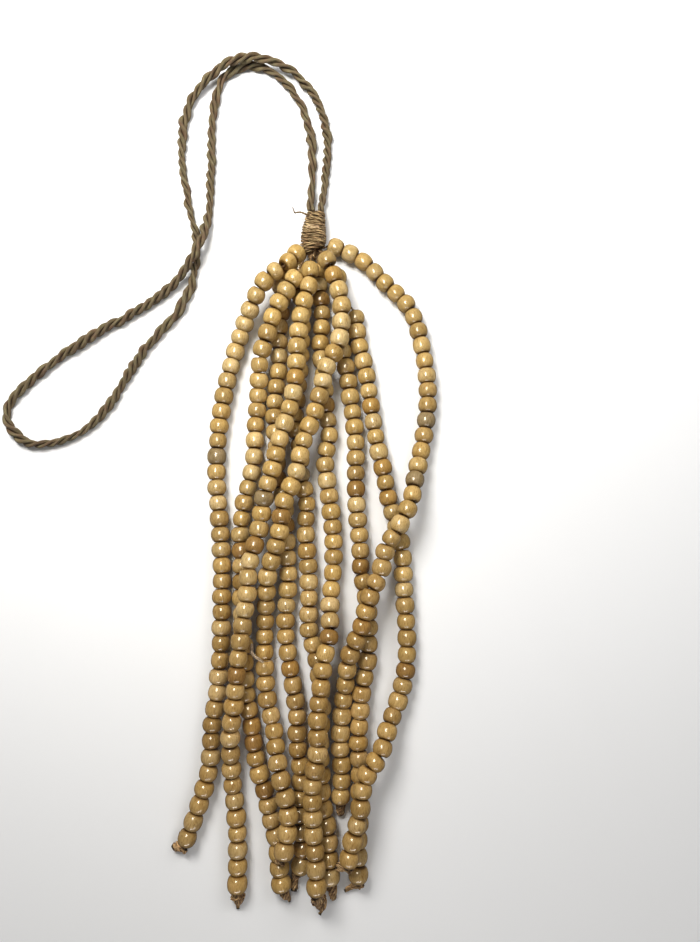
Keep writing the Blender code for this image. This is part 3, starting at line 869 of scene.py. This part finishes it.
def binding(finish):
    """Twine wound round the cord's ends and the strings, over a core painted dark as painted shade
    between the turns.
    """
    random = np.random.default_rng(5)
    gathered = Gathered()
    # A core painted dark: painted shade seen between the twine's turns.
    core = []
    for y in np.linspace(CORE_FROM, CORE_TO, 16):
        core.append([on_binding(y, angle, TWINE_DIAMETER * CORE_DEPTH) for angle in circle(24)])
    core = np.array(core)
    gathered.add(core, np.array(TWINE) * CORE_SHADE, core)
    rope(gathered, winding_line(random), TWINE_DIAMETER, 2, TWINE_LAY, TWINE, sides=14, squeeze=0.40,
         hand=1, wear=0.10, seed=31)
    band = []
    for share in np.linspace(0, 1, 12):
        angle = math.pi * (BAND_START - BAND_SWEEP * share)
        band.append(on_binding(BAND_FROM - BAND_SLANT * share, angle, BAND_DEPTH))
    band = smooth_line(band, 0.4)
    facing = (band - BAND_CENTRE) * (1, 0, 1)
    ribbon(gathered, band, facing, BAND_WIDTH, BAND_THICKNESS, BAND, 77)
    rope(gathered, smooth_line(LOOSE_END, 0.4), STRING_DIAMETER, 2, STRING_LAY,
         np.array(TWINE) * LOOSE_END_SHADE, sides=10, squeeze=0.42, seed=33, taper=LOOSE_END_TAPER)
    gathered.piece("binding_twine", finish, "twine", "binding")


def string_bunch(finish):
    """The dark bunch of strings that leaves the binding."""
    random = np.random.default_rng(8)
    gathered = Gathered()
    for number in range(BUNCH_STRINGS):
        start = BUNCH_LEFT + BUNCH_SPACING * number
        height = 4.0 + 4.2 * math.sin(0.35 * (number + 1)) + random.uniform(-0.6, 0.6)
        end = 0.7 * start + random.uniform(-1.2, 1.2)
        between = 0.5 * (start + end) + random.uniform(-0.5, 0.5)
        path = smooth_line([(start, -8.6, height), (between, -11.6, height + 0.3),
                            (end, -14.6, max(height - 0.9, 3.3))], 0.4)
        tone = np.array(STRING) * random.uniform(*BUNCH_BRIGHTNESS)
        rope(gathered, path, BUNCH_DIAMETER, 2, BUNCH_LAY, tone, sides=12, squeeze=0.44,
             seed=40 + number, taper=BUNCH_TAPER)
    gathered.piece("bunch_strings", finish, "string", "string_bunch")


def stray_string(finish):
    """The short loose string that lies over the strands, flat and frayed to a single fibre."""
    gathered = Gathered()
    flat = smooth_line(STRAY_FLAT, 0.3)
    ribbon(gathered, flat, np.tile((0.0, -0.3, 1.0), (len(flat), 1)), 1.7, 0.5, STRAY, 91)
    fibre(gathered, smooth_line(STRAY_THIN, 0.3), 0.5, STRAY_TIP, 92)
    gathered.piece("stray_string", finish, "string")


def pale_floor():
    """The plain surface that the tassel lies on. The varnish doesn't mirror it."""
    mesh = bpy.data.meshes.new("floor")
    signs = [(-1, -1), (1, -1), (1, 1), (-1, 1)]
    corners = [(FLOOR_REACH * right, FLOOR_REACH * up, 0) for right, up in signs]
    mesh.from_pydata(corners, [], [(0, 1, 2, 3)])
    made, nodes, links, shader = new_material("floor")
    place = nodes.new("ShaderNodeTexCoord").outputs["Object"]
    cloud = noise(nodes, links, place, (1.0, 1.0, 1.0), 3.0, 2.0)
    tones = ramp(nodes, links, cloud, [(0.3, (0.785, 0.80, 0.82)), (0.7, (0.815, 0.83, 0.855))])
    links.new(tones, shader.inputs["Base Color"])
    shader.inputs["Roughness"].default_value = 0.55
    mesh.materials.append(made)
    floor = bpy.data.objects.new("floor", mesh)
    bpy.context.scene.collection.objects.link(floor)
    floor.visible_glossy = False


def area_light(name, place, target, size, power, colour, gloss=True, body=True):
    """A soft light, with its sides in metres.

    Gloss says whether the varnish mirrors it, and body whether it lights plain surfaces.
    """
    data = bpy.data.lights.new(name, "AREA")
    data.shape = "RECTANGLE"
    data.size, data.size_y = size
    data.energy = power
    data.color = colour
    made = bpy.data.objects.new(name, data)
    made.location = Vector(place) * MM
    made.rotation_euler = (Vector(target) - Vector(place)).to_track_quat("-Z", "Y").to_euler()
    made.visible_glossy = gloss
    made.visible_diffuse = body
    bpy.context.scene.collection.objects.link(made)


def studio():
    """Three lights on the tassel, two that its varnish mirrors, and a dim fill from all round.

    The key stands at the upper left, the side light at the right and the front light far below. The
    shine gives each bead its bright spot, and the band its lower edge of light.
    """
    scene = bpy.context.scene
    area_light("key", (-170, 160, 430), (-20, 60, 0), (0.24, 0.24), 4.4, (1.0, 0.97, 0.92), gloss=False)
    area_light("side", (420, 260, 520), (150, 50, 0), (0.40, 0.40), 2.6, (1.0, 0.98, 0.95), gloss=False)
    area_light("shine", (-72, -38, 365), (-72, -140, 0), (0.10, 0.20), 2.8, (1.0, 0.91, 0.72), body=False)
    area_light("band", (60, -1150, 480), (10, -120, 0), (0.8, 0.12), 5.0, (1.0, 0.96, 0.92), body=False)
    area_light("front", (60, -1150, 480), (10, -120, 0), (0.8, 0.12), 2.8, (1.0, 0.96, 0.92), gloss=False)
    world = bpy.data.worlds.new("fill")
    world.use_nodes = True
    back = world.node_tree.nodes["Background"]
    back.inputs["Color"].default_value = (0.98, 0.98, 1.0, 1.0)
    back.inputs["Strength"].default_value = 0.08
    scene.world = world
    scene.view_settings.view_transform = "Standard"


camera()
hanging_cord(fibres("cord_fibre", 2.0, (0.76, 0.70, 0.62), 1.20, (0.84, 0.68, 0.66), (1.02, 1.08, 0.94)))
FIBRE = fibres("plant_fibre", 2.6, (0.20, 0.15, 0.09), 1.8, (0.86, 0.76, 0.72), (1.06, 1.08, 1.06))
WOOD = wood()
for order, (strand_name, bead_count) in enumerate(BEADS.items()):
    threaded, middle_line = beads(strand_name, bead_count, WOOD)
    tied = knot(strand_name.replace("strand", "knot"), middle_line, FIBRE)
    string(strand_name, middle_line, order, FIBRE)
binding(FIBRE)
string_bunch(FIBRE)
stray_string(FIBRE)
pale_floor()
studio()
